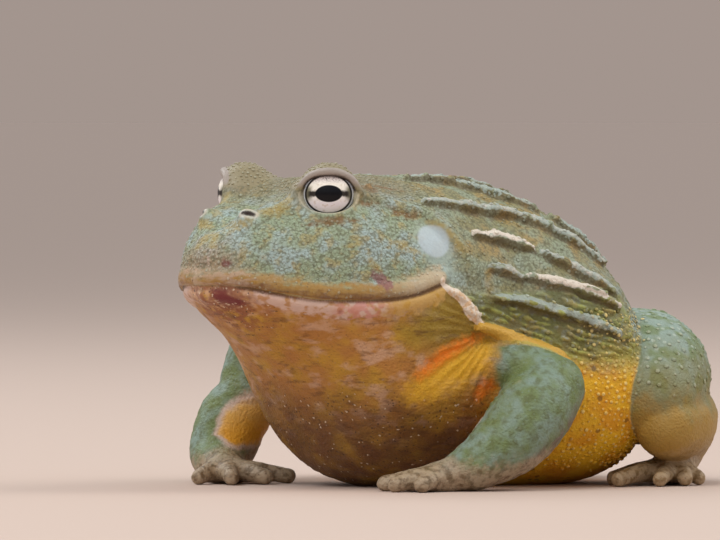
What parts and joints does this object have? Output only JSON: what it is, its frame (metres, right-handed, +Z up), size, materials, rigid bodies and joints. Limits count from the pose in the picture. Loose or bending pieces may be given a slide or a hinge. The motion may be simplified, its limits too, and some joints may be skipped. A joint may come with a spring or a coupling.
{
  "type": "african bullfrog, still life-size model",
  "caption": "Still, life-size model of an adult male african bullfrog, sitting head up with its arms braced and its legs folded.",
  "frame": {"origin": "middle of the belly's flat, on the plane that the frog rests on", "axes": "+Z up, the frog looks along -Y, its left side is +X"},
  "size_m": [0.1358, 0.1731, 0.0961],
  "materials": {
    "skin": "granular, slightly moist",
    "eye": "wet gloss",
    "ear_disc": "smooth, stretched"
  },
  "bodies": {
    "root": {"head": "skin", "lower_jaw": "skin", "torso": "skin", "eye_left": "eye", "eye_right": "eye", "ear_disc_left": "ear_disc", "ear_disc_right": "ear_disc", "upper_arm_left": "skin", "upper_arm_right": "skin", "forearm_left": "skin", "forearm_right": "skin", "hand_left": "skin", "hand_right": "skin", "thigh_left": "skin", "thigh_right": "skin", "shank_left": "skin", "shank_right": "skin", "foot_left": "skin", "foot_right": "skin"}
  },
  "joints": []
}
